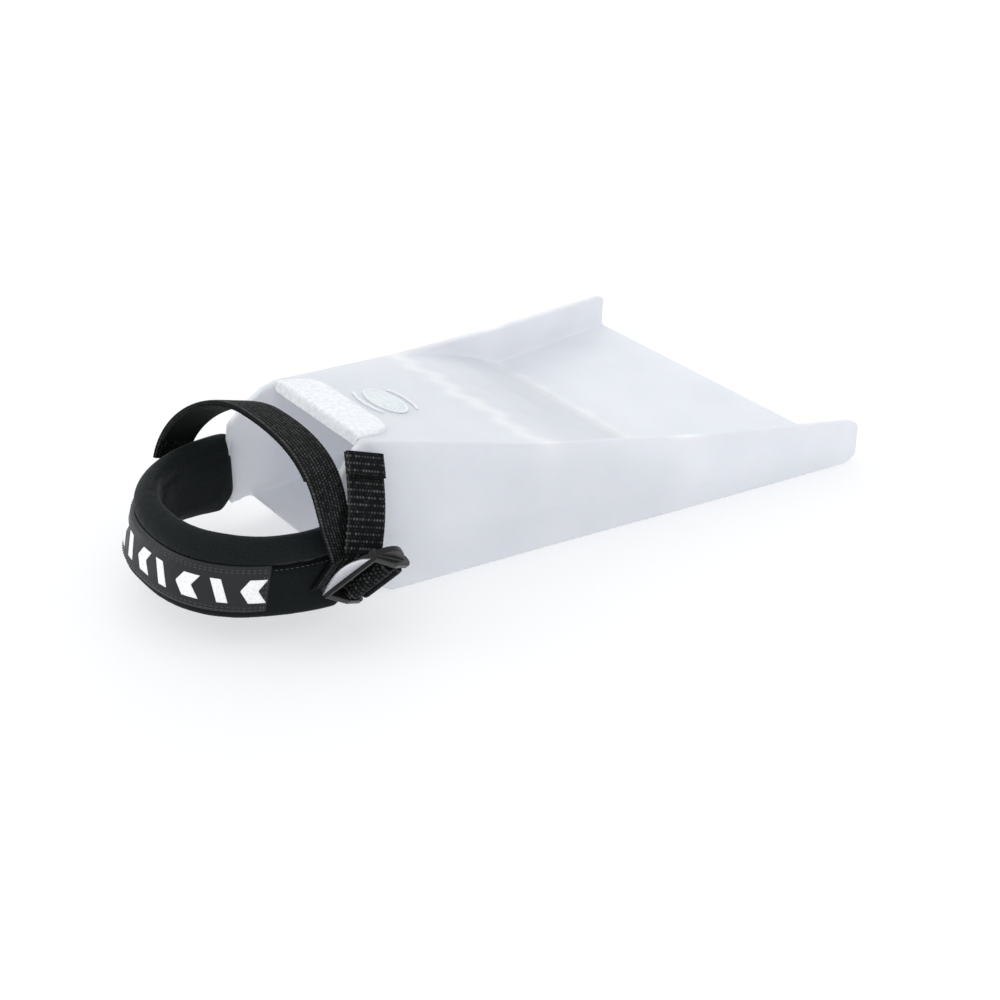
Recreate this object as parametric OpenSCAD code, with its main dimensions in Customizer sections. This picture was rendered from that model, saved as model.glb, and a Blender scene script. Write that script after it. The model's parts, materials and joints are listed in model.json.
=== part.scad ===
// Swim fin with a padded heel leash.
// X runs from the heel to the blade tip, Y across, Z up. The fin stands on z = 0,
// and the origin is under the middle of its overall box.

/* [Fin] */
// Distance from the instep edge to the blade tip
blade_reach = 301; // [270:1:330]
// Width across the rails at the blade tip
blade_w = 231; // [200:1:250]
// Height of the rails at the blade tip
rail_h = 27; // [20:1:34]
// Height of the instep edge above the ground
instep_h = 87; // [80:1:95]
// Width across the instep edge
instep_w = 86; // [80:1:94]
// Wall thickness of the rubber
wall_t = 4.5; // [3.5:0.5:5]
// Thickness of the blade at its tip
blade_t = 4.5; // [3:0.5:6]

/* [Heel loop] */
// How far the bottom of the pad reaches behind its front ends
pad_depth = 77; // [68:1:80]
// Half width of the loop at the middle of the pad
pad_half_w = 57; // [54:1:60]
// Radius of the rolled collar
collar_r = 6.5; // [5:0.5:7]
// Thickness of the padded wall without its label patch
pad_t = 12; // [11:0.5:12.5]
// Thickness of the moulded heel strap inside the pad
strap_t = 4; // [3:0.5:5]

/* [Webbing] */
// Width of the webbing
web_w = 25; // [20:1:28]
// Thickness of the webbing
web_t = 1.8; // [1.2:0.1:2.4]
// Height of the arch above the ground
arch_h = 97.5; // [94:0.5:104]
// Length of the free tail above the buckle
tail_len = 47.5; // [38:0.5:50]

/* [Buckle] */
// Length of the buckle's bars between the cheeks
bar_len = 29; // [27:0.5:31]
// Radius of the anchor bar
bar_r = 2; // [1.6:0.1:2.4]
// Thickness of the side cheeks
cheek_t = 3; // [2.5:0.5:3.5]

/* [Hidden] */

// Everything below is laid out from the instep edge at x = 0, then moved by x_mid.
front_x = -27;                              // front ends of the pad and back ends of the walls
gap = 0.1;                                  // joint line between neighbouring solids
sole_back_x = -15.5;                        // rear edge of the foot pocket's floor
ply_gap = 0.3;                              // clearance between the plies of the pad
patch_t = 1;
print_t = 0.4;
patch_out = pad_t / 2 + ply_gap + patch_t;
print_out = patch_out + ply_gap + print_t;
pad_back_x = front_x - pad_depth - print_out;
x_mid = -(blade_reach + pad_back_x) / 2;

// Side view stations of the fin: [x, height] along the top, crease and bottom of a wall
top_z = [[front_x, 65.4], [-17, 76.5], [-7, 84.5], [0, instep_h], [95, 63], [190, 44.5],
    [blade_reach, rail_h]];
crease_z = [[front_x, 38], [0, 37], [190, 15], [blade_reach, 6]];
base_z = [[front_x, 13], [sole_back_x, 15.5], [5, 0], [blade_reach, 0]];
// Plan view stations: [x, half width] along the same three lines
top_y = [[front_x, 51.3], [0, instep_w / 2], [95, 69], [190, 91], [blade_reach, blade_w / 2]];
crease_y = [[front_x, 59], [0, 57.5], [95, 75.5], [190, 95.5], [blade_reach, blade_w / 2 + 1.2]];
base_y = [[front_x, 58], [0, 54], [95, 73.5], [190, 94], [blade_reach, blade_w / 2 + 1]];
stations = [front_x, -17, sole_back_x, -7, 0, 5, 50, 95, 142, 190, 245, blade_reach];

// Half width of a wall's outer face at x and height z
function wall_y(x, z) =
    let (zt = lookup(x, top_z), zc = lookup(x, crease_z), zb = lookup(x, base_z))
    lookup(z, [[zb, lookup(x, base_y)], [zc, lookup(x, crease_y)], [zt, lookup(x, top_y)]]);
function inner_y(x, z) = wall_y(x, z) - wall_t - gap;

// Closed solid through rings that hold the same number of points
module loft(rings) {
    n = len(rings[0]);
    m = len(rings);
    sides = [for (i = [0 : m - 2], j = [0 : n - 1]) let (k = (j + 1) % n)
        each [[i * n + j, i * n + k, (i + 1) * n + k], [i * n + j, (i + 1) * n + k, (i + 1) * n + j]]];
    caps = [[for (j = [n - 1 : -1 : 0]) j], [for (j = [0 : n - 1]) (m - 1) * n + j]];
    polyhedron([for (r = rings) each r], concat(sides, caps));
}

module fin_place() translate([x_mid, 0, 0]) children();

// ---- Fin ----

module side_wall(side) {
    rings = [for (x = stations)
        let (zt = lookup(x, top_z), zc = lookup(x, crease_z), zb = lookup(x, base_z),
            yt = lookup(x, top_y), yc = lookup(x, crease_y), yb = lookup(x, base_y))
        [[x, yt, zt], [x, yc, zc], [x, yb, zb], [x, yb - wall_t, zb], [x, yc - wall_t, zc],
            [x, yt - wall_t, zt]]];
    tip_r = 5;
    fin_place() color("aliceblue") mirror([0, side < 0 ? 1 : 0, 0]) difference() {
        loft(rings);
        // Rounded upper corner and cut lower corner at the tip
        translate([blade_reach - tip_r, 0, rail_h - tip_r]) difference() {
            cube([tip_r * 2, blade_w, tip_r * 2]);
            rotate([-90, 0, 0]) cylinder(r = tip_r, h = blade_w, $fn = 48);
        }
        translate([blade_reach - 7, 0, 0]) rotate([0, -32, 0]) translate([0, 0, -20])
            cube([20, blade_w, 20]);
    }
}
module side_rail_left() side_wall(1);
module side_rail_right() side_wall(-1);

// Flat panel between the walls, with its top at each [x, z] of a list, and thickness t
module panel(profile, t0, t1) {
    n = len(profile);
    rings = [for (i = [0 : n - 1])
        let (x = profile[i][0], z = profile[i][1], t = t0 + (t1 - t0) * i / (n - 1),
            a = inner_y(x, z), b = inner_y(x, z - t))
        [[x, a, z], [x, b, z - t], [x, -b, z - t], [x, -a, z]]];
    fin_place() color("aliceblue") loft(rings);
}
sole_top = 13.5;
sole_t = 5;
sole_back_t = 2.5;
foot_x = 190;                               // foot of the toe ramp
foot_z = 18;
module sole_plate() panel([[sole_back_x, sole_top + 4.5], [0, sole_top + 2], [95, sole_top],
    [foot_x - gap, sole_top]], sole_back_t, sole_t);
module vamp() panel([for (x = [0 : 19 : 95]) [x, lookup(x, top_z)]], wall_t, wall_t);
module toe_ramp() panel([for (k = [0 : 0.25 : 1]) [95 + gap + (foot_x - 95 - 2 * gap) * k,
    lookup(95, top_z) + (foot_z - lookup(95, top_z)) * (k + 0.35 * k * (k - 1))]], wall_t, wall_t - 0.2);
module blade() panel([for (k = [0 : 0.2 : 1]) [foot_x + (blade_reach - foot_x) * k,
    foot_z + (blade_t + 0.8 - foot_z) * k]], 9, blade_t);

// Local frame on the sloping top of the vamp: origin at x, Z along the surface normal
vamp_slope = atan((instep_h - 63) / 95);
module on_vamp(x) fin_place() translate([x, 0, lookup(x, top_z)]) rotate([0, vamp_slope, 0]) children();

lip_w = 22;
lip_h = 2.5;
module instep_lip() on_vamp(0) color("white") translate([0, 0, gap]) linear_extrude(lip_h) hull()
    for (s = [-1, 1]) {
        translate([2, s * 37]) circle(r = 2, $fn = 32);
        translate([lip_w - 8, s * 31]) circle(r = 8, $fn = 32);
    }

// Raised badge: an oval ring with five bars, and an arc on each side of it
emblem_x = 44;
emblem_y = 2;
function oval(rx, ry, a0 = 0, a1 = 360, n = 48) =
    [for (i = [0 : n]) let (a = a0 + (a1 - a0) * i / n) [rx * cos(a), ry * sin(a)]];
module oval_ring(rx, ry, w) difference() {
    polygon(oval(rx, ry));
    polygon(oval(rx - w, ry - w));
}
module emblem() on_vamp(emblem_x) color("white") translate([0, emblem_y, gap]) {
    base_h = 0.5;
    relief_h = 1;
    linear_extrude(base_h) polygon(oval(9.5, 17));
    linear_extrude(relief_h) {
        oval_ring(9.5, 17, 1.2);
        for (i = [-2 : 2]) translate([i * 2.8, 0]) square([1.4, 26 - 3.5 * i * i], center = true);
        for (s = [-1, 1]) polygon(concat(oval(15 * s, 24, -38, 38, 16), oval(13.6 * s, 22.6, 38, -38, 16)));
    }
}

// ---- Heel loop ----

pad_steps = 32;
top_n = 2.3;                                // superellipse powers of the top and bottom edges
low_n = 2.6;
collar_back = 66.5;                         // depth of the loop at the collar
collar_half_w = 56.5;
collar_end_z = 49;
collar_back_z = 54.5;
pad_end_z = 11;
pad_back_z = 23.5;

// Point of the loop's centre line: a runs from -90 to 90, w from 0 at the bottom to 1 at the collar
function se(c, n) = pow(max(c, 0), 2 / n);
function loop_pt(a, w) =
    let (c = cos(a), s = abs(sin(a)), sg = a < 0 ? -1 : 1,
        lo = [front_x - pad_depth * se(c, low_n), sg * pad_half_w * se(s, low_n),
            pad_end_z + (pad_back_z - pad_end_z) * se(c, low_n)],
        hi = [front_x - collar_back * se(c, top_n), sg * collar_half_w * se(s, top_n),
            collar_end_z + (collar_back_z - collar_end_z) * se(c, top_n)])
    lo + (hi - lo) * w;
// Outward direction of the loop in plan
function loop_out(a) =
    let (p = loop_pt(min(a + 0.5, 90), 0.5), q = loop_pt(max(a - 0.5, -90), 0.5), d = p - q,
        v = abs(a) > 89.4 ? [0, a < 0 ? -1 : 1, 0] : [-d[1], d[0], 0])
    v / norm(v);
function loop_at(a, w, off) = loop_pt(a, w) + off * loop_out(a);

// Band of the loop between two heights and two offsets from its centre line
module loop_band(w0, w1, in, out, a0 = -90, a1 = 90, steps = pad_steps)
    fin_place() loft([for (i = [0 : steps]) let (a = a0 + (a1 - a0) * i / steps)
        [loop_at(a, w0, in), loop_at(a, w1, in), loop_at(a, w1, out), loop_at(a, w0, out)]]);

half_t = pad_t / 2;
lining_t = 2;
outer_in = strap_t / 2 + ply_gap;
module heel_strap() color("aliceblue") loop_band(0.16, 0.78, -strap_t / 2, strap_t / 2);
module pad_lining() color("dimgray") loop_band(0, 0.8, -half_t, -half_t + lining_t);
module pad_foam() color("gray") loop_band(0.04, 0.75, -half_t + lining_t + ply_gap, -outer_in);
module pad_outer_panel() color("dimgray") loop_band(0, 0.8, outer_in, half_t);
patch_a = 62;
module label_patch() color("black")
    loop_band(0.12, 0.78, half_t + ply_gap, patch_out, -patch_a, patch_a, 24);
module label_print() color("white") for (k = [-3 : 3])
    loop_band(0.3, 0.64, patch_out + ply_gap, print_out, k * 15 - 5, k * 15 + 5, 4);

// Rolled collar: a tube along the top edge of the loop
core_r = collar_r - 2;
module collar_tube(r, sides) fin_place() loft([for (i = [0 : pad_steps])
    let (a = -90 + 180 * i / pad_steps, o = loop_out(a))
    [for (j = [0 : sides - 1]) let (q = -360 * j / sides)
        loop_at(a, 1, r * cos(q)) + [0, 0, r * sin(q)]]]);
module collar_core() color("silver") collar_tube(core_r, 12);
module collar_roll() color("dimgray") difference() {
    collar_tube(collar_r, 20);
    collar_tube(core_r + gap, 12);
}

// ---- Webbing ----

function mix(p, q, k) = p + (q - p) * k;
function bezier(p, k) = pow(1 - k, 3) * p[0] + 3 * k * pow(1 - k, 2) * p[1]
    + 3 * k * k * (1 - k) * p[2] + pow(k, 3) * p[3];

// Flat strap through points c, each with its own width direction, off to one side by a distance
module strap(c, w, width = web_w, t = web_t, off = 0) {
    n = len(c);
    fin_place() loft([for (i = [0 : n - 1])
        let (d = c[min(i + 1, n - 1)] - c[max(i - 1, 0)], u = w[i] / norm(w[i]),
            v = cross(d, u) / norm(cross(d, u)), a = u * width / 2, b = v * t / 2, o = c[i] + off * v)
        [o - a - b, o - a + b, o + a + b, o + a - b]]);
}

// The arch is two curves that meet at its top: s runs from 0 at the near eye to 2 at the far eye
near_eye = [-29, -66.5, 44];
far_eye = [-55.5, 65, 48];
arch_top = [-33, 1, arch_h];
arch_near = [near_eye, [-41, -67, arch_h - 25], [-22.5, -59.5, arch_h - 6], arch_top];
arch_far = [arch_top, [-37, 23.5, arch_h + 2], [-46, 63.5, arch_h - 19], far_eye];
near_w = [0.87, 0.45, -0.19];
top_w = [0.92, 0.12, -0.36];
far_w = [0.85, 0.24, -0.46];
function arch_pt(s) = s < 1 ? bezier(arch_near, s) : bezier(arch_far, s - 1);
function arch_w(s) = s < 1 ? mix(near_w, top_w, s) : mix(top_w, far_w, s - 1);
module arch_ply(s0, s1, width, t, off) {
    steps = [for (i = [0 : 36]) s0 + (s1 - s0) * i / 36];
    strap([for (s = steps) arch_pt(s)], [for (s = steps) arch_w(s)], width, t, off);
}
module ankle_webbing() color("black") arch_ply(0.12, 2, web_w, web_t, 0);
liner_t = 1.5;
module ankle_liner() color("dimgray")
    arch_ply(0.56, 1.86, web_w - 1, liner_t, web_t / 2 + gap + liner_t / 2);

// Strap and thread block that hold the far eye to the pad
far_low = [-54, 62.7, 22];
far_top = [-55.5, 62.7, 47];
far_flat = [-1, -0.15, 0];
module far_anchor_webbing() color("black")
    strap([far_low, far_top], [far_flat, far_flat]);
// Rows of stitches on a sewn end
module bar_tack(len) for (k = [-1.5 : 1.5]) translate([0, 0, k * 2]) cube([len, 0.5, 1.2], center = true);
module far_bar_tack() color("gray") fin_place() translate(mix(far_low, far_top, 0.2) + [0, 1.5, 0])
    rotate([0, 0, 8.5]) bar_tack(20);

// ---- Buckle ----

// Local frame: X along the bars, Y from the anchor bar to the lip, Z away from the pad
anchor_c = [-15, -74.4, 26.7];
buckle_rot = [130, -40.5, -35.5];
module buckle_place() fin_place() translate(anchor_c) rotate(buckle_rot) children();
mid_y = 11;                                 // teeth bar
mid_z = 1.2;
mid_r = 2.2;
lip_y = 27;
lip_t = 2.4;
lip_reach = 4;                              // how far the lip's edge stands towards the pad
wing = [1.5, 6.5];                          // how far the sides bulge, on the heel and on the toe side
half_bar = bar_len / 2;
side_x = half_bar + cheek_t;
module along_x(len) rotate([90, 0, 90]) linear_extrude(len, center = true) children();
// Side view of a cheek: Y along it, Z outward
module cheek_outline() intersection() {
    union() {
        circle(r = 3.6, $fn = 48);
        polygon([[0, -3.2], [lip_y + lip_t, -2.2], [lip_y + lip_t, 3.4], [mid_y, 5], [0, 3.6]]);
    }
    translate([-6, -2.6]) square([40, 10]);
}
// Half of the outline of a side's outward bulge, seen from outside
module wing_outline(out) polygon([for (i = [0 : 16]) let (k = i / 16)
    [half_bar + cheek_t / 2 + (cheek_t / 2 + out) * pow(sin(180 * k), 0.8), 0.5 + 28.5 * pow(k, 0.9)]]);
module buckle_frame() color("dimgray") buckle_place() {
    for (s = [-1, 1]) {
        translate([s * (half_bar + cheek_t / 2), 0, 0]) along_x(cheek_t) cheek_outline();
        mirror([s < 0 ? 1 : 0, 0, 0]) translate([0, 0, -1.5]) linear_extrude(3) wing_outline(wing[(s + 1) / 2]);
    }
    along_x(bar_len + 0.2) circle(r = bar_r, $fn = 48);
    translate([0, mid_y, mid_z]) along_x(bar_len + 0.2) circle(r = mid_r, $fn = 48);
    // Lip: a plate across the end with a leaf shaped edge towards the pad
    translate([0, lip_y, 0]) rotate([-90, 0, 0]) linear_extrude(lip_t) polygon(concat([[side_x, -3.4],
        [-side_x, -3.4]], [for (k = [0 : 0.05 : 1]) [side_x * (2 * k - 1), lip_reach * pow(sin(180 * k), 0.75)]]));
}
wrap_r = mid_r + 0.4;
module webbing_wrap() color("black") buckle_place() translate([0, mid_y, mid_z]) along_x(web_w)
    difference() {
        circle(r = wrap_r + web_t, $fn = 64);
        circle(r = wrap_r, $fn = 64);
        translate([-10, -20 - 1.2]) square(20);
    }

// Strap round the anchor bar, sewn to the pad's near end
function rot_x(p, q) = [p[0], p[1] * cos(q) - p[2] * sin(q), p[1] * sin(q) + p[2] * cos(q)];
function rot_y(p, q) = [p[0] * cos(q) + p[2] * sin(q), p[1], p[2] * cos(q) - p[0] * sin(q)];
function rot_z(p, q) = [p[0] * cos(q) - p[1] * sin(q), p[0] * sin(q) + p[1] * cos(q), p[2]];
function turn(p) = rot_z(rot_y(rot_x(p, buckle_rot[0]), buckle_rot[1]), buckle_rot[2]);
loop_r = bar_r + gap + web_t / 2;
bar_dir = turn([1, 0, 0]);
anchor_end = [-41, -64, 37];
anchor_mid = [-32, -64.3, 36];
anchor_flat = [0.72, 0, 0.69];
loop_pts = [for (q = [60 : -20 : -160]) anchor_c + turn([0, loop_r * sin(-q), loop_r * cos(q)])];
loop_exit = anchor_c + turn([-2, 6, -5.2]);
run_pts = concat([loop_exit], [for (k = [0 : 0.25 : 1]) mix(anchor_mid, anchor_end, k)]);
module near_anchor_webbing() color("black") strap(concat(loop_pts, run_pts),
    concat([for (p = loop_pts) bar_dir], [mix(bar_dir, anchor_flat, 0.3)],
        [for (k = [0 : 4]) anchor_flat]), web_w - 0.5);
module near_bar_tack() color("gray") fin_place() translate(mix(anchor_mid, anchor_end, 0.75) + [0, -1.5, 0])
    rotate([0, -43.8, 0]) bar_tack(18);

// ---- Tail ----

tail_foot = [-23, -73.6, 48];
tail_dir = [0.37, 0.5, 0.75] / norm([0.37, 0.5, 0.75]);
tail_w = [0.92, -0.12, -0.37];
tail_bow = 3;                               // how far the middle stands out from the straight line
hem_from = 0.76;
function tail_pt(k) = tail_foot + tail_len * k * tail_dir + [0, -tail_bow * sin(180 * k), 0];
module tail_ply(k0, off) {
    steps = [for (i = [0 : 10]) k0 + (1 - k0) * i / 10];
    strap([for (k = steps) tail_pt(k)], [for (k = steps) tail_w], web_w - 3, web_t, off);
}
module tail_webbing() color("black") tail_ply(0, 0);
module tail_hem() color("dimgray") tail_ply(hem_from, -web_t - gap);

sole_plate();
blade();
side_rail_left();
side_rail_right();
vamp();
toe_ramp();
instep_lip();
emblem();
heel_strap();
collar_core();
collar_roll();
pad_lining();
pad_foam();
pad_outer_panel();
label_patch();
label_print();
far_anchor_webbing();
far_bar_tack();
near_anchor_webbing();
near_bar_tack();
ankle_webbing();
ankle_liner();
buckle_frame();
webbing_wrap();
tail_webbing();
tail_hem();
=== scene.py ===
import json
import math

import bmesh
import bpy
import numpy as np
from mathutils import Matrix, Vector


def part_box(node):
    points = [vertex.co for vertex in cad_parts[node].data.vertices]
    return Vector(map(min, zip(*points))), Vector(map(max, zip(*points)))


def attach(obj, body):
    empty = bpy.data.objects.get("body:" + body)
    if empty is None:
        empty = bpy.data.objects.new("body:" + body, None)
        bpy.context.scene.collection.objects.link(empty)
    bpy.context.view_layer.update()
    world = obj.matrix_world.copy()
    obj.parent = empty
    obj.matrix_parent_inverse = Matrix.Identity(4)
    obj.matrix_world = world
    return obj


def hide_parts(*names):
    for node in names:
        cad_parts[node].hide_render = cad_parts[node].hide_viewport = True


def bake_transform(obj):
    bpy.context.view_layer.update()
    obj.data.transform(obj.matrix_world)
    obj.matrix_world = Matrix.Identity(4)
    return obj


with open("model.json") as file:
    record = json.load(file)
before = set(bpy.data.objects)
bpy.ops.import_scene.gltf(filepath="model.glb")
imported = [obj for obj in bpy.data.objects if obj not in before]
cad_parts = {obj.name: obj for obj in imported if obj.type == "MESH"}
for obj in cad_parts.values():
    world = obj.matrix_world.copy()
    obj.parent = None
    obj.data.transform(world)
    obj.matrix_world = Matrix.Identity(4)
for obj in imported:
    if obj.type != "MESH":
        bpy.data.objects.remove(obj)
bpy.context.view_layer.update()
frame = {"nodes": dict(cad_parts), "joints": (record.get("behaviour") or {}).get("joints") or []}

# Looks of a swim fin with a padded heel leash: one rubber moulding, a neoprene sleeve with a rolled
# collar and a sewn label patch, and webbing that runs over the instep to a ladder buckle.
# Lengths are in metres. X runs from the heel to the blade tip, the near side is -Y, and Z is up.

MM = 0.001
instep = Vector((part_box("vamp")[0].x, 0, 0))       # foot of the instep edge
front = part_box("pad_outer_panel")[1].x             # front ends of the padded sleeve
near_front = (front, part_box("pad_outer_panel")[0].y, 0.02)


def at(x, y, z):
    """The point x, y, z millimetres from the foot of the instep edge."""
    return instep + Vector((x, y, z)) * MM


# ---- Meshes ----

def mesh_object(name, points, faces, yarn_highlight=None):
    """A smooth mesh object. The last argument is a painted highlight for each point, which the webbing's
    material reads.
    """
    mesh = bpy.data.meshes.new(name)
    mesh.from_pydata([tuple(p) for p in points], [], [tuple(f) for f in faces])
    mesh.update()
    mesh.shade_smooth()
    # Per point painted highlight of the webbing's floats.
    if yarn_highlight is not None:
        mesh.attributes.new("yarn_highlight", "FLOAT", "POINT").data.foreach_set("value", np.ravel(yarn_highlight))
    obj = bpy.data.objects.new(name, mesh)
    bpy.context.scene.collection.objects.link(obj)
    return obj


def skin(rings, first=0):
    """Points and faces of a closed form through rings of paired points, with both ends capped."""
    rings = np.asarray(rings, float)
    n, m = rings.shape[:2]
    faces = []
    for i in range(n - 1):
        here, there = first + i * m, first + (i + 1) * m
        for j in range(m):
            k = (j + 1) % m
            faces.append([here + j, here + k, there + k, there + j])
    for i, turn in ((0, -1), (n - 1, 1)):
        for j in range(m // 2 - 1):
            quad = [first + i * m + q for q in (j, j + 1, m - 2 - j, m - 1 - j)]
            faces.append(quad[::turn])
    return rings.reshape(-1, 3), faces


def solid(name, groups, yarn_highlight=None):
    """One object made of several closed forms, each given by its rings."""
    points, faces = [], []
    for rings in groups:
        more, sides = skin(rings, sum(len(p) for p in points))
        points.append(more)
        faces += sides
    obj = mesh_object(name, np.vstack(points), faces, yarn_highlight)
    outward(obj)
    return obj


def outward(obj):
    """Turns a closed mesh's faces outwards."""
    form = bmesh.new()
    form.from_mesh(obj.data)
    bmesh.ops.recalc_face_normals(form, faces=form.faces)
    form.to_mesh(obj.data)
    form.free()


def bake(obj):
    """Applies the modifiers of an object."""
    graph = bpy.context.evaluated_depsgraph_get()
    mesh = bpy.data.meshes.new_from_object(obj.evaluated_get(graph))
    obj.modifiers.clear()
    obj.data = mesh
    mesh.shade_smooth()
    return obj


def cad_copy(name, *nodes):
    """A new object with the joined meshes of CAD nodes."""
    points, faces = [], []
    for node in nodes:
        mesh = frame["nodes"][node].data
        faces += [[len(points) + i for i in p.vertices] for p in mesh.polygons]
        points += [v.co.copy() for v in mesh.vertices]
    obj = mesh_object(name, points, faces)
    weld = obj.modifiers.new("Weld", "WELD")
    weld.merge_threshold = 0.01 * MM
    return bake(obj)


def soften(obj, passes):
    """Adds smoothing passes."""
    even = obj.modifiers.new("Smooth", "SMOOTH")
    even.factor = 0.5
    even.iterations = passes


def remesh(obj, voxel, passes):
    """Remeshes an object in even quads and rounds its edges with smoothing passes."""
    grid = obj.modifiers.new("Remesh", "REMESH")
    grid.mode = "VOXEL"
    grid.voxel_size = voxel
    soften(obj, passes)
    return bake(obj)


def positions(obj):
    """An object's vertices as an array."""
    co = np.zeros(len(obj.data.vertices) * 3)
    obj.data.vertices.foreach_get("co", co)
    return co.reshape(-1, 3)


def place(obj, co):
    """Moves an object's vertices to the rows of an array."""
    obj.data.vertices.foreach_set("co", np.ravel(co))
    obj.data.update()


def swell(obj, frames, cap):
    """Blows a mesh up by a short cloth simulation, and moves no point further than cap."""
    start = positions(obj)
    cloth = obj.modifiers.new("Cloth", "CLOTH")
    cloth.settings.quality = 6
    cloth.settings.use_pressure = True
    cloth.settings.uniform_pressure_force = 4
    cloth.settings.effector_weights.gravity = 0
    cloth.point_cache.frame_start = 1
    cloth.point_cache.frame_end = frames
    for number in range(1, frames + 1):
        bpy.context.scene.frame_set(number)
    bake(obj)
    moved = positions(obj) - start
    reach = np.linalg.norm(moved, axis=1, keepdims=True)
    place(obj, start + moved * np.minimum(1, cap / np.maximum(reach, 1e-9)))
    bpy.context.scene.frame_set(1)


def puff(obj, voxel, cap):
    """Makes a stuffed piece of a closed form: even mesh, swollen cloth, smooth surface."""
    remesh(obj, voxel, 2)
    swell(obj, 20, cap)
    soften(obj, 2)
    finer = obj.modifiers.new("Subdivision", "SUBSURF")
    finer.levels = finer.render_levels = 1
    return bake(obj)


# ---- Lines and straps read from the frame ----

def rings_of(node, start):
    """The four-cornered rings of a swept CAD node, in order from the end nearest to start."""
    mesh = frame["nodes"][node].data
    raw = np.array([v.co for v in mesh.vertices], float)
    spots, index = np.unique(np.round(raw * 1e6).astype(int), axis=0, return_inverse=True)
    index = np.ravel(index)
    co = spots * 1e-6
    links = [set() for _ in co]
    for edge in mesh.edges:
        a, b = index[edge.vertices[0]], index[edge.vertices[1]]
        if a != b:
            links[a].add(b)
            links[b].add(a)
    ends = [i for i, near in enumerate(links) if len(near) < 6]
    ends.sort(key=lambda i: np.linalg.norm(co[i] - np.array(start)))
    ring = set(ends[:4])
    seen, rings = set(ring), []
    while ring:
        rings.append(co[sorted(ring)])
        ring = set().union(*(links[i] for i in ring)) - seen
        seen |= ring
    return rings


def smooth_line(rows, count):
    """A curve through rows of numbers, at even steps along its first three columns, and its length."""
    rows = np.asarray(rows, float)
    p = np.vstack([2 * rows[0] - rows[1], rows, 2 * rows[-1] - rows[-2]])
    k = np.linspace(0, len(rows) - 1, (len(rows) - 1) * 16 + 1)
    i = np.minimum(k.astype(int), len(rows) - 2)
    f = (k - i)[:, None]
    a, b, c, d = p[i], p[i + 1], p[i + 2], p[i + 3]
    q = 0.5 * (2 * b + (c - a) * f + (2 * a - 5 * b + 4 * c - d) * f**2 + (3 * b - a - 3 * c + d) * f**3)
    s = np.r_[0, np.cumsum(np.linalg.norm(np.diff(q[:, :3], axis=0), axis=1))]
    steps = np.linspace(0, s[-1], count)
    return np.column_stack([np.interp(steps, s, column) for column in q.T]), s[-1]


def ribbon(node, start, across, up):
    """Rows of centre, width vector and thickness vector along a strap's CAD node."""
    rows, wide, thick = [], np.array(across, float), np.array(up, float)
    for ring in rings_of(node, start):
        near = sorted(ring[1:] - ring[0], key=np.linalg.norm)
        thick = near[0] * np.sign(near[0] @ thick)
        wide = near[1] * np.sign(near[1] @ wide)
        rows.append(np.r_[ring.mean(axis=0), wide, thick])
    return rows


def longer(rows, reach):
    """A strap's rows with its first stretch drawn out by reach."""
    step = rows[0][:3] - rows[1][:3]
    more = rows[0].copy()
    more[:3] += step / np.linalg.norm(step) * reach
    return [more, *rows]


def unit(v):
    """Rows of vectors at length 1."""
    return v / np.maximum(np.linalg.norm(v, axis=-1, keepdims=True), 1e-12)


# ---- Padded sleeve ----

BAND_TOP = 0.8                                     # height of the panels, where 1 is the collar's centre


def band_corner(ring, high, outer):
    """One corner of a ring of a padded band."""
    pair = ring[np.argsort(ring[:, 2])][2:] if high else ring[np.argsort(ring[:, 2])][:2]
    reach = np.hypot(pair[:, 0] - front, pair[:, 1])
    return pair[np.argmax(reach) if outer else np.argmin(reach)]


lining_rings = rings_of("pad_lining", near_front)
panel_rings = rings_of("pad_outer_panel", near_front)
PAD_TABLE, PAD_LENGTH = smooth_line([
    np.r_[band_corner(p, False, True), band_corner(a, False, False), band_corner(a, True, False),
          band_corner(p, True, True)] for a, p in zip(lining_rings, panel_rings)], 361)


def pad(s, w, off):
    """Points of the padded band: s from 0 at its near end to 1, height w, and off from -1 inside to 1.
    Past its ends the band runs straight on along X."""
    s = np.asarray(s, float)
    steps = np.linspace(0, 1, len(PAD_TABLE))
    row = np.stack([np.interp(s, steps, column) for column in PAD_TABLE.T], axis=-1)
    past = np.maximum(np.maximum(-s, s - 1), 0) * PAD_LENGTH
    rise = np.asarray(w, float)[..., None] / BAND_TOP
    side = (np.asarray(off, float)[..., None] + 1) / 2
    outer_low, inner_low, inner_high, outer_high = (row[..., k:k + 3] for k in (0, 3, 6, 9))
    outer = outer_low + (outer_high - outer_low) * rise
    inner = inner_low + (inner_high - inner_low) * rise
    return inner + (outer - inner) * side + past[..., None] * np.array([1.0, 0, 0])


def pad_out(s):
    """Outward directions of the padded band."""
    height, side = np.full_like(s, 0.4), np.ones_like(s)
    return unit(pad(s, height, side) - pad(s, height, -side))


def pad_place(point):
    """The place s along the padded band that is nearest to a point."""
    s = np.linspace(0, 1, 721)
    middle = pad(s, np.full_like(s, 0.45), np.zeros_like(s))
    return s[np.argmin(np.linalg.norm(middle - np.array(point), axis=1))]


PAST = 3.5 * MM                                    # how far the sleeve reaches over the rubber at its ends
SAG = 0.06                                         # how far the sleeve hangs below the CAD panels


def stations(count):
    """Places along the band, past its ends, and the thickness factor that rounds its ends off."""
    over = PAST / PAD_LENGTH
    s = np.linspace(-over, 1 + over, count)
    d = np.minimum(s + over, 1 + over - s) * PAD_LENGTH
    return s, d, np.sqrt(np.clip(1 - (1 - np.clip(d / (4 * MM), 0, 1)) ** 2, 0.03, 1))


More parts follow.
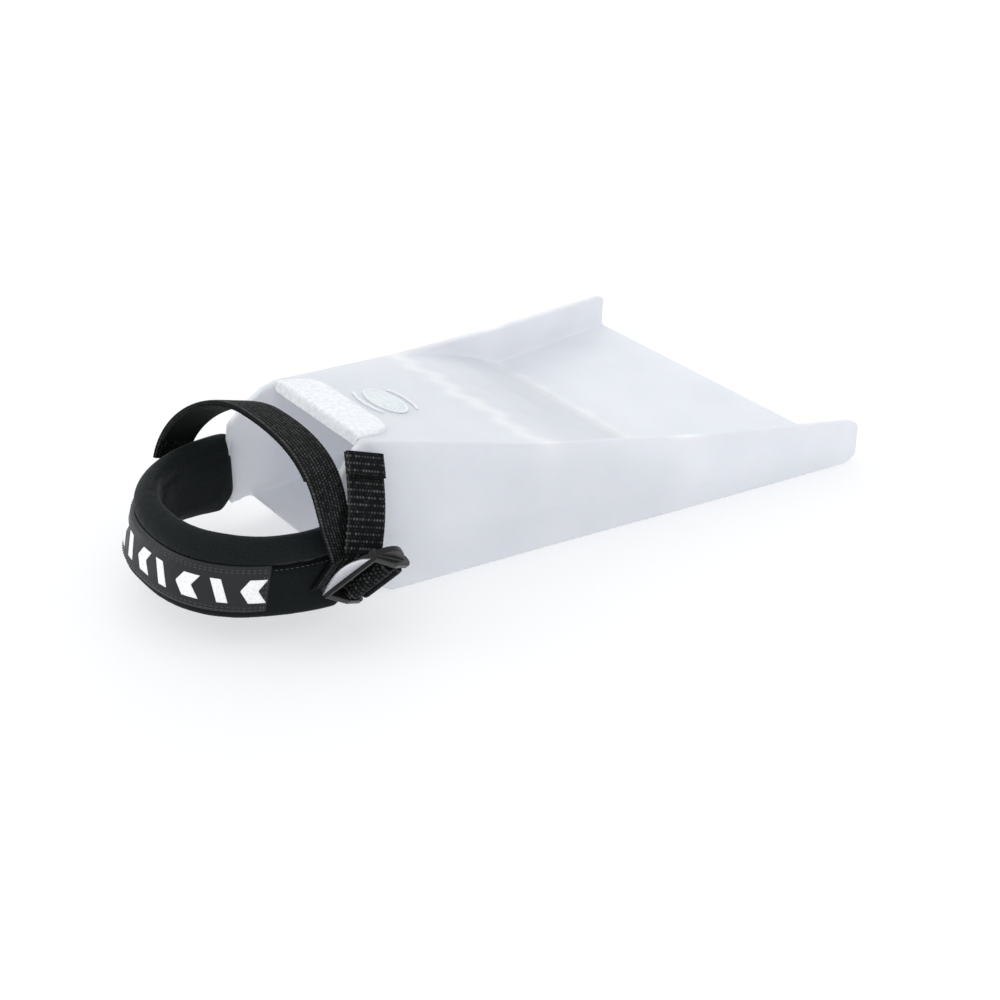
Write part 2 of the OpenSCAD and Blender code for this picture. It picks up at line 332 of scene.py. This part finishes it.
def sweep_pad(name, w, off):
    """A padded piece with one cross section, given as heights and offsets, swept along the band.
    Its lower edge rises towards the front ends."""
    s, d, round_end = stations(171)
    lift = 0.3 * np.clip(1 - d / (10 * MM), 0, 1)
    rings = [pad(np.full_like(w, q), w + rise * np.clip(1 - w / 0.7, 0, 1), off * end)
             for q, rise, end in zip(s, lift, round_end)]
    return puff(solid(name, [rings]), 1.7 * MM, 0.7 * MM)


def sleeve_outer():
    """Outer half of the sleeve: a rounded lower edge, a full face and a pinched seam at the collar."""
    low = 0.15
    w = np.r_[low * (1 - np.cos(np.linspace(0, math.pi / 2, 8))), np.linspace(low, 0.84, 15)[1:]]
    full = np.sqrt(np.clip(1 - (1 - np.minimum(w / low, 1)) ** 2, 0, 1))
    pinch = 1 - 0.12 * np.clip((w - 0.7) / 0.14, 0, 1) ** 2
    face = full * pinch * (0.96 + 0.04 * np.sin(math.pi * w / 0.84))
    heights, offsets = np.r_[w, w[::-1]] - SAG, np.r_[face, np.full_like(w, 0.02)]
    return sweep_pad("sleeve_outer", heights, offsets)


def sleeve_inner():
    """Lining that rises from the lower edge and rolls over the top, as the collar, to the outer seam."""
    low, rise, inward, outward_reach = 0.15, 0.2, 0.92, 1.2
    w = low * (1 - np.cos(np.linspace(0, math.pi / 2, 8)))
    foot = np.sqrt(np.clip(1 - (1 - w / low) ** 2, 0, 1)) * 0.96
    wall = np.linspace(low, 0.86, 12)[1:]
    over = np.radians(np.linspace(200, -48, 28))
    roll = 1.0 + np.where(np.sin(over) < 0, 0.27, rise) * np.sin(over)
    bulge = np.where(np.cos(over) < 0, inward, outward_reach) * np.cos(over)
    face = np.r_[-foot, -0.96 - 0.05 * np.sin(wall * 3.2), bulge]
    heights = np.r_[w, wall, roll]
    core = np.linspace(0, 1, len(heights))
    back = np.interp(core, [0, 0.35, 0.55, 1], [-SAG, 0.5, 0.8, 0.86])
    middle = np.interp(core, [0, 1], [-0.02, 0.5])
    return sweep_pad("collar_and_lining", np.r_[heights - SAG * (heights < 0.6), back[::-1]],
                     np.r_[face, middle[::-1]])


def shell_on_pad(s0, s1, w0, w1, in_off, out_off, shift=None, columns=40, rows=14, rim=0.0):
    """Rings of a thin shell on the sleeve between two places and two heights; shift slants it."""
    s = np.linspace(s0, s1, columns)
    w = np.linspace(w0, w1, rows)
    slant = np.zeros(rows) if shift is None else shift(w)
    edge_w = np.clip(np.minimum(np.arange(rows), np.arange(rows)[::-1]) / 2, 0, 1)
    rings = []
    for i, q in enumerate(s):
        edge = edge_w * min(1, i / 2, (columns - 1 - i) / 2) if rim else np.ones(rows)
        face = pad(q + slant, w, out_off - rim * (1 - edge))
        back = pad(q + slant, w, np.full(rows, in_off))
        rings.append(np.vstack([face, back[::-1]]))
    return rings


# ---- Threads ----

def threads(name, rows, pitch, length, radius):
    """Rows of short stitches; each row is its points and its outward directions."""
    groups = []
    turn = np.linspace(0, 2 * math.pi, 6, endpoint=False)
    for points, normals in rows:
        s = np.r_[0, np.cumsum(np.linalg.norm(np.diff(points, axis=0), axis=1))]
        for middle in np.arange(pitch / 2, s[-1], pitch):
            k = np.linspace(-1, 1, 7)
            place_s = np.clip(middle + k * length / 2, 0, s[-1])
            p = np.column_stack([np.interp(place_s, s, c) for c in points.T])
            n = unit(np.column_stack([np.interp(place_s, s, c) for c in normals.T]))
            along = unit(np.gradient(p, axis=0))
            side = unit(np.cross(along, n))
            p = p + n * (radius * (0.9 - 1.9 * k**4))[:, None]
            thin = radius * np.sqrt(1.05 - k**2)
            groups.append([c + r * (np.cos(turn)[:, None] * a + np.sin(turn)[:, None] * b)
                           for c, r, a, b in zip(p, thin, side, n)])
    return solid(name, groups)


def sewing(name, rows):
    """The sleeve's own seams: rows of long stitches in thin thread."""
    return threads(name, rows, 2.7 * MM, 1.9 * MM, 0.22 * MM)


def pad_row(s0, s1, w, off, count=120):
    """Points and outward directions of a line of stitches on the sleeve; s and w may both change."""
    s = np.linspace(s0, s1, count)
    heights = np.linspace(*w, count) if isinstance(w, tuple) else np.full(count, w)
    return pad(s, heights, np.full(count, off)), pad_out(s)


def strap_row(rows, k, side, reach=0.42):
    """A line of stitches across a strap at place k along it, on the side given by 1 or -1."""
    line, _ = smooth_line(rows, 101)
    row = line[int(round(k * 100))]
    across = np.linspace(-reach, reach, 12)[:, None]
    points = row[:3] + across * row[3:6] + side * row[6:9] * 0.5
    return points, np.tile(unit(side * row[6:9]), (12, 1))


# ---- Webbing ----

def cell_noise(a, b):
    """A repeatable number from 0 to 1 for each pair of whole numbers."""
    return np.modf(np.abs(np.sin(a * 12.9898 + b * 78.233) * 4375.85))[0]


def basket(u, v, width):
    """Relief and painted highlight of plump floats in columns that slant in turn to either side."""
    columns, row = 11, 1.7 * MM
    x = (u / width + 0.5) * columns
    column = np.floor(x)
    x = (x - column) * 2 - 1
    lean = np.where(column % 2 == 0, 1, -1)
    y = v / row + 0.3 * lean * x + 0.5 * (column % 2)
    line = np.floor(y)
    y = (y - line) * 2 - 1
    relief = np.sqrt(np.clip(1 - 0.92 * x**2 - 0.92 * y**2, 0, 1))
    strands = 0.5 + 0.5 * np.cos((x - 0.7 * lean * y) * 9)
    uneven = 0.35 + 0.65 * cell_noise(column, line)
    # Painted highlight on the crest of each float.
    shine = np.clip(relief * 1.5 - 0.75, 0, 1) * uneven * (0.5 + 0.5 * strands)
    return relief, shine


def rib(u, v, width):
    """Relief and painted highlight of fine warp floats in cross rows, each second row shifted by half."""
    columns, row = 13, 1.8 * MM
    line = np.floor(v / row)
    y = (v / row - line) * 2 - 1
    x = (u / width + 0.5) * columns + 0.5 * (line % 2)
    column = np.floor(x)
    x = (x - column) * 2 - 1
    relief = np.sqrt(np.clip(1 - 0.85 * x**2 - 0.8 * y**2, 0, 1))
    uneven = (0.25 + 0.75 * cell_noise(column, line)) * np.where(line % 2, 1, 0.35)
    # Painted highlight on the crest of each float.
    return relief, np.clip(relief * 1.6 - 0.8, 0, 1) * uneven


def plain(u, v, width):
    """Relief and painted highlight of a smooth tape with fine cross ribs."""
    wave = 0.5 + 0.5 * np.cos(v / (0.9 * MM) * 2 * math.pi)
    return wave * 0.4, wave * 0.1


STEP = 0.42 * MM                                   # mesh step of the webbing


def webbing(name, rows, weave, depth=0.28 * MM):
    """A woven strap along rows of centre, width and thickness, with the weave's own relief."""
    _, length = smooth_line(rows, 2)
    line, _ = smooth_line(rows, max(12, int(length / STEP)))
    width = np.linalg.norm(line[:, 3:6], axis=1).mean()
    u = np.linspace(-width / 2, width / 2, max(8, int(width / STEP)))
    v = np.linspace(0, length, len(line))
    grid_u, grid_v = np.meshgrid(u, v)
    relief, shine = weave(grid_u, grid_v, width)
    edge = np.clip(1 - np.abs(grid_u / (width / 2)) ** 14, 0, 1) ** 0.5
    selvedge = np.exp(-((np.abs(grid_u) - width * 0.475) / (0.5 * MM)) ** 2)
    # Painted highlight along the selvedges as well.
    shine = np.clip(shine + 0.25 * selvedge, 0, 1)
    centre, wide, thick = line[:, None, 0:3], unit(line[:, 3:6])[:, None], line[:, 6:9]
    half = np.linalg.norm(thick, axis=1)[:, None] / 2
    up = unit(thick)[:, None]
    lift = ((half - depth * 0.5) * (0.25 + 0.75 * edge) + depth * relief * edge)[..., None]
    scallop = 1 + 0.006 * np.sin(grid_v / (2.3 * MM) * 2 * math.pi)
    base = centre + (grid_u * scallop)[..., None] * wide
    rings = np.concatenate([base + lift * up, (base - lift * up)[:, ::-1]], axis=1)
    # The painted highlight, on both faces of the strap.
    yarn_highlight = np.concatenate([shine, shine[:, ::-1]], axis=1)
    return solid(name, [rings], yarn_highlight)


# ---- Materials ----

def shader(name, base, rough, **inputs):
    """A new material with a Principled shader: the material, its tree and the shader node."""
    made = bpy.data.materials.new(name)
    made.use_nodes = True
    node = made.node_tree.nodes["Principled BSDF"]
    node.inputs["Base Color"].default_value = (*base, 1)
    node.inputs["Roughness"].default_value = rough
    node.inputs["Specular IOR Level"].default_value = 0.5
    for key, value in inputs.items():
        node.inputs[key.replace("_", " ")].default_value = value
    return made, made.node_tree, node


def coordinates(tree):
    """Object coordinates, in metres."""
    return tree.nodes.new("ShaderNodeTexCoord").outputs["Object"]


def noise(tree, size, detail=3.0, vector=None):
    """A noise texture whose features are about size metres wide."""
    node = tree.nodes.new("ShaderNodeTexNoise")
    node.inputs["Scale"].default_value = 1 / size
    node.inputs["Detail"].default_value = detail
    tree.links.new(vector or coordinates(tree), node.inputs["Vector"])
    return node.outputs["Fac"]


def cells(tree, size):
    """A cell texture whose cells are about size metres wide."""
    node = tree.nodes.new("ShaderNodeTexVoronoi")
    node.inputs["Scale"].default_value = 1 / size
    tree.links.new(coordinates(tree), node.inputs["Vector"])
    return node.outputs["Distance"]


def ramp(tree, value, low, high, start=0.3, end=0.7):
    """A colour that goes from low to high as value goes from start to end."""
    node = tree.nodes.new("ShaderNodeValToRGB")
    node.color_ramp.elements[0].position = start
    node.color_ramp.elements[0].color = (*low, 1)
    node.color_ramp.elements[1].position = end
    node.color_ramp.elements[1].color = (*high, 1)
    tree.links.new(value, node.inputs["Fac"])
    return node.outputs["Color"]


def spread_of(tree, value, low, high):
    """value from 0 to 1, mapped to low to high."""
    node = tree.nodes.new("ShaderNodeMapRange")
    node.inputs["To Min"].default_value = low
    node.inputs["To Max"].default_value = high
    tree.links.new(value, node.inputs["Value"])
    return node.outputs["Result"]


def bump(tree, shader_node, *layers):
    """Chains bump layers, each a height and its distance in metres, into a shader's normal."""
    normal = None
    for height, distance in layers:
        node = tree.nodes.new("ShaderNodeBump")
        node.inputs["Distance"].default_value = distance
        tree.links.new(height, node.inputs["Height"])
        if normal:
            tree.links.new(normal, node.inputs["Normal"])
        normal = node.outputs["Normal"]
    tree.links.new(normal, shader_node.inputs["Normal"])


def rubber():
    """Pale translucent moulded rubber: cloudy, faintly blue, and lit through; painted white where a per
    point attribute says, which is painted highlight along the fin's creases and frosting on the badge's
    marks.
    """
    made, tree, node = shader("fin_rubber", (0.6, 0.63, 0.7), 0.36, Subsurface_Weight=0.2,
                              Subsurface_Scale=4 * MM, Coat_Weight=0.08, Coat_Roughness=0.25)
    cloud = ramp(tree, noise(tree, 38 * MM, 5), (0.772, 0.795, 0.835), (0.832, 0.85, 0.885))
    frost_and_highlight = tree.nodes.new("ShaderNodeAttribute")
    frost_and_highlight.attribute_name = "frost_and_highlight"
    mix = tree.nodes.new("ShaderNodeMix")
    mix.data_type = "RGBA"
    tree.links.new(frost_and_highlight.outputs["Fac"], mix.inputs["Factor"])
    tree.links.new(cloud, mix.inputs["A"])
    # White for painted highlight on the fin's creases and for the badge's frosted marks.
    mix.inputs["B"].default_value = (0.98, 0.985, 0.99, 1)
    tree.links.new(mix.outputs["Result"], node.inputs["Base Color"])
    tree.links.new(spread_of(tree, noise(tree, 16 * MM, 4), 0.26, 0.5), node.inputs["Roughness"])
    bump(tree, node, (noise(tree, 22 * MM, 2), 0.9 * MM), (noise(tree, 0.7 * MM, 2), 0.02 * MM))
    through = tree.nodes.new("ShaderNodeBsdfTranslucent")
    through.inputs["Color"].default_value = (0.96, 0.968, 0.99, 1)
    blend = tree.nodes.new("ShaderNodeMixShader")
    blend.inputs["Fac"].default_value = 0.36
    tree.links.new(node.outputs["BSDF"], blend.inputs[1])
    tree.links.new(through.outputs["BSDF"], blend.inputs[2])
    tree.links.new(blend.outputs["Shader"], tree.nodes["Material Output"].inputs["Surface"])
    return made


def matt_rubber():
    """Frosted white rubber of the instep band."""
    made, tree, node = shader("matt_rubber", (0.86, 0.88, 0.91), 0.8)
    tree.links.new(ramp(tree, noise(tree, 2.2 * MM, 6), (0.71, 0.73, 0.765), (0.86, 0.87, 0.89)),
                   node.inputs["Base Color"])
    bump(tree, node, (noise(tree, 0.9 * MM, 4), 0.4 * MM), (noise(tree, 4 * MM, 3), 0.8 * MM))
    return made


def neoprene(name, tone):
    """Black neoprene with a brushed knit face that catches light at grazing angles."""
    made, tree, node = shader(name, (tone,) * 3, 0.9, Sheen_Weight=0.1, Sheen_Roughness=0.4,
                              Specular_IOR_Level=0.12)
    low, high = (tone * 0.6, tone * 0.85, tone * 0.9), (tone * 1.3, tone * 1.7, tone * 1.8)
    tree.links.new(ramp(tree, noise(tree, 0.8 * MM, 4), low, high), node.inputs["Base Color"])
    bump(tree, node, (cells(tree, 0.55 * MM), 0.1 * MM), (noise(tree, 6 * MM, 3), 0.5 * MM))
    return made


def patch_fabric():
    """Smooth coated cloth of the label patch, a little glossy."""
    made, tree, node = shader("patch_fabric", (0.005, 0.007, 0.008), 0.42, Specular_IOR_Level=0.35)
    tree.links.new(spread_of(tree, noise(tree, 4 * MM, 4), 0.34, 0.55), node.inputs["Roughness"])
    bump(tree, node, (cells(tree, 0.45 * MM), 0.05 * MM), (noise(tree, 9 * MM, 3), 0.5 * MM))
    return made


def print_ink():
    """White print with a slightly worn, woven surface."""
    made, tree, node = shader("white_print", (0.85, 0.85, 0.85), 0.6)
    tree.links.new(ramp(tree, noise(tree, 0.6 * MM, 5), (0.62, 0.62, 0.62), (0.9, 0.9, 0.9), 0.3, 0.5),
                   node.inputs["Base Color"])
    bump(tree, node, (cells(tree, 0.45 * MM), 0.05 * MM))
    return made


def woven(name, dark, light):
    """Nylon webbing: dark yarn with painted highlights where its floats catch the light."""
    made, tree, node = shader(name, (dark,) * 3, 0.6, Specular_IOR_Level=0.07)
    # Painted highlight of the floats, read from the mesh.
    yarn_highlight = tree.nodes.new("ShaderNodeAttribute")
    yarn_highlight.attribute_name = "yarn_highlight"
    yarn, shine = (dark, dark * 1.3, dark * 1.35), (light, light, light * 1.03)
    tree.links.new(ramp(tree, yarn_highlight.outputs["Fac"], yarn, shine, 0.12, 0.95), node.inputs["Base Color"])
    bump(tree, node, (noise(tree, 0.25 * MM, 3), 0.06 * MM))
    return made


def thread_material():
    """Grey sewing thread."""
    made, tree, node = shader("thread", (0.05, 0.05, 0.055), 0.5, Specular_IOR_Level=0.3)
    tree.links.new(ramp(tree, noise(tree, 0.5 * MM, 2), (0.03, 0.033, 0.035), (0.1, 0.1, 0.105)),
                   node.inputs["Base Color"])
    bump(tree, node, (noise(tree, 0.15 * MM, 2), 0.05 * MM))
    return made


def plastic(name, tone, metal, **gloss):
    """Moulded plastic of the buckle, more or less bright; the bright metallic copy is painted highlight."""
    made, tree, node = shader(name, (tone, tone, tone * 1.1), 0.25, Metallic=metal, **gloss)
    tree.links.new(spread_of(tree, noise(tree, 3 * MM, 4), 0.18, 0.36), node.inputs["Roughness"])
    bump(tree, node, (noise(tree, 0.5 * MM, 3), 0.03 * MM))
    return made


RUBBER, MATT = rubber(), matt_rubber()
NEOPRENE, LINING = neoprene("neoprene", 0.006), neoprene("lining_jersey", 0.008)
PATCH, PRINT, THREAD = patch_fabric(), print_ink(), thread_material()
PLASTIC = plastic("buckle_plastic", 0.006, 0, Specular_IOR_Level=0.22)
# A light grey metallic copy of the black buckle plastic: painted highlight on the lip.
LIP_HIGHLIGHT = plastic("painted_highlight_lip", 0.3, 0.6, Coat_Weight=0.5, Coat_Roughness=0.2)
WEBBING, TAPE = woven("webbing", 0.003, 0.13), woven("liner_tape", 0.004, 0.1)


def finish_piece(obj, material, slot, body, *nodes):
    """Gives a piece its material, lets it ride on a body and hides the CAD nodes it stands for; slot is not
    used.
    """
    obj.data.materials.clear()
    obj.data.materials.append(material)
    if nodes:
        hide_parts(*nodes)
    if body:
        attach(obj, body)
    return obj


def hinge_blend(obj):
    """Bakes the piece's transform into its mesh."""
    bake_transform(obj)


# ---- Fin ----

def frost_and_highlight(obj, amount):
    """Stores how white each vertex is painted, which the rubber's material reads: painted highlight on the
    fin, frosting on the badge.
    """
    obj.data.attributes.new("frost_and_highlight", "FLOAT", "POINT").data.foreach_set("value", amount)


def paint_crease_highlights(fin):
    """Paints highlights into the moulding's colour on its upward faces: along the crease above the toes and
    at the ramp's foot.
    """
    co = positions(fin)
    x = co[:, 0] - instep.x
    ragged = 2.5 * MM * np.sin(co[:, 1] * 310) + 2 * MM * np.sin(co[:, 1] * 127 + 1)
    upward = np.zeros(len(co) * 3)
    fin.data.vertices.foreach_get("normal", upward)
    top = np.clip(upward.reshape(-1, 3)[:, 2], 0, 1)
    # Painted highlight bands, scaled by how far each face points up.
    crease = np.exp(-((x + ragged - 97 * MM) / (6 * MM)) ** 2)
    foot = 0.9 * np.exp(-((x - ragged - 184 * MM) / (9 * MM)) ** 2)
    frost_and_highlight(fin, (crease + foot) * top)


def vamp_slope():
    """Directions down the vamp towards the toes and straight out of it."""
    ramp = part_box("toe_ramp")
    along = Vector((ramp[0].x - instep.x, 0, ramp[1].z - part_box("vamp")[1].z)).normalized()
    return along, Vector((-along.z, 0, along.x))


def frost_relief(badge):
    """Marks the raised marks of the badge as frosted, and leaves its base plate clear."""
    height = positions(badge) @ np.array(vamp_slope()[1])
    frost_and_highlight(badge, np.clip((height - height.max() + 0.7 * MM) / (0.35 * MM), 0, 1))


def instep_band():
    """Frosted band round the instep edge: a front face as thick as the wall, and a ragged rear edge."""
    edge = Vector((instep.x, 0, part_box("vamp")[1].z))
    along, up = vamp_slope()
    half = 38.5
    rings = []
    for y in np.linspace(-half, half, 155):
        side = abs(y) / half
        fray = 0.5 * math.sin(y * 2.1) * math.sin(y * 0.77)
        reach = 22.5 * max(1 - side**9, 0.0) ** 0.5 + fray + 1.5
        tall = 2.4 * max(1 - side**16, 0.0) ** 0.5 + 0.25
        front_x = -1.2 - 0.15 * math.sin(y * 1.3)
        turn = [math.radians(a) for a in range(180, 80, -15)]
        top = [(front_x, -4.6), (front_x, -2.5), (front_x, tall - 2)]
        top += [(front_x + 2 + 2 * math.cos(a), tall - 2 + 2 * math.sin(a)) for a in turn]
        top += [(3 + (reach - 4.5) * k, tall + 0.12 * math.sin(y * 0.9 + k * 9))
                for k in np.linspace(0.1, 1, 12)]
        top += [(reach - 0.6, tall * 0.7), (reach, 0.1)]
        low = [(max(x - 0.3, front_x + 1.2), min(z - 0.9, -0.5)) for x, z in top]
        middle = edge + Vector((0, y * MM, 0))
        rings.append([middle + (along * x + up * z) * MM for x, z in top + low[::-1]])
    band = solid("instep_band", [rings])
    return remesh(band, 0.45 * MM, 3)


def build_fin():
    """The rubber moulding as one piece with rounded edges, its matt instep band and its badge."""
    parts = ("sole_plate", "blade", "side_rail_left", "side_rail_right", "vamp", "toe_ramp")
    fin = remesh(cad_copy("fin_moulding", *parts), 1.1 * MM, 5)
    paint_crease_highlights(fin)
    finish_piece(fin, RUBBER, "fin_rubber", "fin", *parts)
    finish_piece(instep_band(), MATT, "matt_rubber", "fin", "instep_lip")
    badge = remesh(cad_copy("badge", "emblem"), 0.22 * MM, 2)
    frost_relief(badge)
    finish_piece(badge, RUBBER, "matt_rubber", "fin", "emblem")


# ---- Heel loop ----

def build_pad():
    """The stuffed sleeve, and the lining that rolls over its top as the collar."""
    outer, inner = sleeve_outer(), sleeve_inner()
    finish_piece(outer, NEOPRENE, "neoprene", None, "pad_outer_panel", "pad_foam")
    finish_piece(inner, LINING, "neoprene", None, "collar_roll", "collar_core", "pad_lining")
    hinge_blend(outer)
    hinge_blend(inner)


def print_marks(s0, s1, face):
    """Forms of the generic print between two places: chevrons and slanted bars in turn."""
    middle, count = 0.47, 9
    forms = []
    for k in range(count):
        centre = s0 + (s1 - s0) * (k + 0.5) / count
        if k % 2:
            half, shift = 0.011, lambda w: 0.055 * (w - middle)
        else:
            half, shift = 0.018, lambda w: 0.1 * (0.075 - np.abs(w - middle))
        forms.append(shell_on_pad(centre - half, centre + half, 0.28, 0.64, face - 0.06, face + 0.045,
                                  shift, columns=10, rows=17))
    return forms


def build_patch():
    """Sewn label patch round the outside, with a generic print of slanted bars and chevrons."""
    ends = [ring.mean(axis=0) for ring in rings_of("label_patch", near_front)]
    s0, s1 = pad_place(ends[0]), pad_place(ends[-1])
    low, high, face = 0.12, 0.84, 1.2
    cover = shell_on_pad(s0, s1, low, high, 0.9, face, columns=160, rows=24, rim=0.14)
    patch = solid("label_patch_cover", [cover])
    finish_piece(patch, PATCH, "patch_fabric", "heel_loop", "label_patch")
    ink = solid("label_print_bars", print_marks(s0, s1, face))
    finish_piece(ink, PRINT, "white_print", "heel_loop", "label_print")
    inset = 0.008
    across = (s0 + inset, s0 + 1.8 * inset, s1 - inset)
    rows = [pad_row(s0 + inset, s1 - inset, w, face - 0.03) for w in (0.165, 0.205, 0.75, 0.79)]
    rows += [pad_row(s, s, (0.165, 0.75), face - 0.02, 24) for s in across]
    finish_piece(sewing("patch_stitches", rows), THREAD, "thread", "heel_loop")
    seam_rows = [pad_row(0.02, s0 - 0.006, 0.75, 0.97, 60), pad_row(s1 + 0.006, 0.98, 0.75, 0.97, 60),
                 pad_row(0.03, 0.11, (0.1, 0.7), 0.985, 40), pad_row(0.89, 0.97, (0.7, 0.1), 0.985, 40)]
    seam = sewing("sleeve_stitches", seam_rows)
    finish_piece(seam, THREAD, "thread", None)
    hinge_blend(seam)


# ---- Webbing and buckle ----

def build_anchors():
    """The two pieces of webbing sewn to the pad, with their bar tacks."""
    far = ribbon("far_anchor_webbing", at(-54, 64, 10), (1, 0, 0), (0, 1, 0))
    near = ribbon("near_anchor_webbing", at(-60, -64, 33), (0.7, 0, 0.7), (0, -1, 0))
    for name, rows, node in (("far", far, "far_anchor_webbing"), ("near", near, "near_anchor_webbing")):
        strap = webbing(f"{name}_anchor_strap", rows, rib)
        finish_piece(strap, WEBBING, "webbing", "heel_loop", node)
        lines = [strap_row(rows, k, 1) for k in (0.06, 0.09, 0.12, 0.15)]
        tack = threads(f"{name}_tack", lines, 1.1 * MM, 1.0 * MM, 0.26 * MM)
        finish_piece(tack, THREAD, "thread", "heel_loop", f"{name}_bar_tack")


def strap_blend(obj):
    """Bakes the piece's transform into its mesh."""
    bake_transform(obj)


def build_straps():
    """The arch over the instep with its inner tape, and the free tail with its folded hem."""
    arch = ribbon("ankle_webbing", at(-29, -66, 44), (1, 0, 0), (0, -1, 0))
    strap = webbing("instep_strap", longer(arch, 11 * MM), basket, 0.5 * MM)
    strap_blend(finish_piece(strap, WEBBING, "webbing", None, "ankle_webbing"))
    inner = ribbon("ankle_liner", at(-35, -60, 70), (1, 0, 0), (0, -1, 0))
    tape = webbing("instep_tape", inner, plain, 0.1 * MM)
    strap_blend(finish_piece(tape, TAPE, "liner_tape", None, "ankle_liner"))
    tail = ribbon("tail_webbing", at(-21, -73, 48), (1, 0, 0), (0, -1, 0))
    free = webbing("tail_strap", longer(tail, 3 * MM), rib)
    finish_piece(free, WEBBING, "webbing", "tail", "tail_webbing")
    hem = ribbon("tail_hem", at(-12, -60, 70), (1, 0, 0), (0, -1, 0))
    finish_piece(webbing("tail_fold", hem, rib), WEBBING, "webbing", "tail", "tail_hem")
    lines = [strap_row(hem, k, -1, 0.44) for k in (0.12, 0.22)]
    stitches = threads("tail_stitches", lines, 2.2 * MM, 1.5 * MM, 0.22 * MM)
    finish_piece(stitches, THREAD, "thread", "tail")


LIP_WAY = np.array([-0.778, -0.234, 0.583])        # from the buckle's anchor bar to its lip
LIP_Y, LIP_Z = 30, 1.7                             # place of the lip's outer edge, in the buckle's axes
BAR_Y, BAR_Z = 11, 1.2                             # place of the teeth bar
TURN_R = 3.6                                       # radius of the webbing's middle round that bar


def buckle_frame_axes():
    """Origin and axes of the buckle: X along its bars, Y from the anchor bar to the lip, Z outward."""
    tilt = next(j for j in frame["joints"] if j["name"] == "buckle_tilt")
    origin = np.array(tilt["pos_m"])
    along = unit(np.array(tilt["axis"], float))
    up = unit(LIP_WAY - (LIP_WAY @ along) * along)
    return origin, along, up, np.cross(along, up)


def buckle_points(points):
    """Points given in millimetres in the buckle's own axes."""
    origin, *axes = buckle_frame_axes()
    return origin + np.asarray(points, float) @ np.array(axes) * MM


def painted_highlight_lip():
    """Leaf shaped face of the buckle's lip, which carries the painted highlight."""
    start, length, widest, thick = -17.4, 31.8, 5.4, 1.1
    rings = []
    for k in np.linspace(0, 1, 41):
        x = start + length * k
        deep = widest * max(math.sin(math.pi * k), 0.02) ** 0.75
        y = LIP_Y + 0.5 * math.sin(math.pi * k)
        face = [(x, y - 0.4 * c**2, LIP_Z - deep * c) for c in np.linspace(0, 1, 9)]
        rings.append(buckle_points(face + [(p[0], p[1] - thick, p[2]) for p in face[::-1]]))
    return solid("buckle_lip", [rings])


def webbing_turn():
    """Webbing where it bends round the buckle's teeth bar."""
    wide, thick = np.array([24.5, 0, 0]), 1.9
    rows = []
    for q in np.radians(np.arange(-20, 201, 10)):
        out = np.array([0, math.cos(q), math.sin(q)])
        centre = np.array([0, BAR_Y, BAR_Z]) + TURN_R * out
        ends = buckle_points([centre, centre + wide, centre + thick * out])
        rows.append(np.r_[ends[0], ends[1] - ends[0], ends[2] - ends[0]])
    return webbing("buckle_turn", rows, basket, 0.45 * MM)


def build_buckle():
    """The ladder buckle with moulded edges, its lip in a bright copy of the plastic as painted highlight,
    and the webbing round its bar.
    """
    buckle = remesh(cad_copy("ladder_buckle", "buckle_frame"), 0.32 * MM, 5)
    finish_piece(buckle, PLASTIC, "buckle_plastic", "buckle", "buckle_frame")
    # The lip gets the painted highlight copy of the plastic.
    finish_piece(painted_highlight_lip(), LIP_HIGHLIGHT, "buckle_plastic", "buckle")
    finish_piece(webbing_turn(), WEBBING, "webbing", "buckle", "webbing_wrap")


def paint_frame():
    """Material of the CAD node that stays: the rubber strap inside the sleeve."""
    data = frame["nodes"]["heel_strap"].data
    data.materials.clear()
    data.materials.append(RUBBER)


# ---- Stage ----

def build_stage():
    """Plain pale floor, soft light and the camera."""
    size, level = 6, -0.2 * MM
    corners = [(x * size, y * size, level) for x, y in ((-1, -1), (1, -1), (1, 1), (-1, 1))]
    floor = mesh_object("floor", corners, [(0, 1, 2, 3)])
    made, tree, node = shader("floor", (0.45, 0.45, 0.455), 0.8, Specular_IOR_Level=0.1,
                              Emission_Strength=0.5, Emission_Color=(0.98, 0.99, 1, 1))
    tree.links.new(ramp(tree, noise(tree, 0.4, 2), (0.44, 0.44, 0.445), (0.46, 0.46, 0.465)),
                   node.inputs["Base Color"])
    floor.data.materials.append(made)
    world = bpy.data.worlds.new("studio")
    bpy.context.scene.world = world
    world.use_nodes = True
    world.node_tree.nodes["Background"].inputs["Color"].default_value = (0.98, 0.99, 1, 1)
    world.node_tree.nodes["Background"].inputs["Strength"].default_value = 1.09
    lamps = (("key", (-0.5, -0.9, 1.5), 1.2, 1.5), ("back", (0.9, 1.15, 0.75), 1.3, 2),
             ("left", (-1.35, 1.03, 1.03), 0.8, 4.5))
    for name, spot, width, power in lamps:
        light = bpy.data.lights.new(name, "AREA")
        light.size = width
        light.energy = power
        lamp = bpy.data.objects.new(name, light)
        lamp.location = spot
        lamp.rotation_euler = (-Vector(spot)).to_track_quat("-Z", "Y").to_euler()
        bpy.context.scene.collection.objects.link(lamp)
    lens = bpy.data.cameras.new("camera")
    lens.lens = 57.6
    camera = bpy.data.objects.new("camera", lens)
    camera.location = at(-380.5, -632.8, 484.5)
    camera.rotation_euler = Vector((0.5285, 0.6663, -0.5261)).to_track_quat("-Z", "Y").to_euler()
    bpy.context.scene.collection.objects.link(camera)
    bpy.context.scene.camera = camera
    bpy.context.scene.view_settings.view_transform = "Standard"


build_stage()
build_fin()
build_pad()
build_patch()
build_anchors()
build_straps()
build_buckle()
paint_frame()
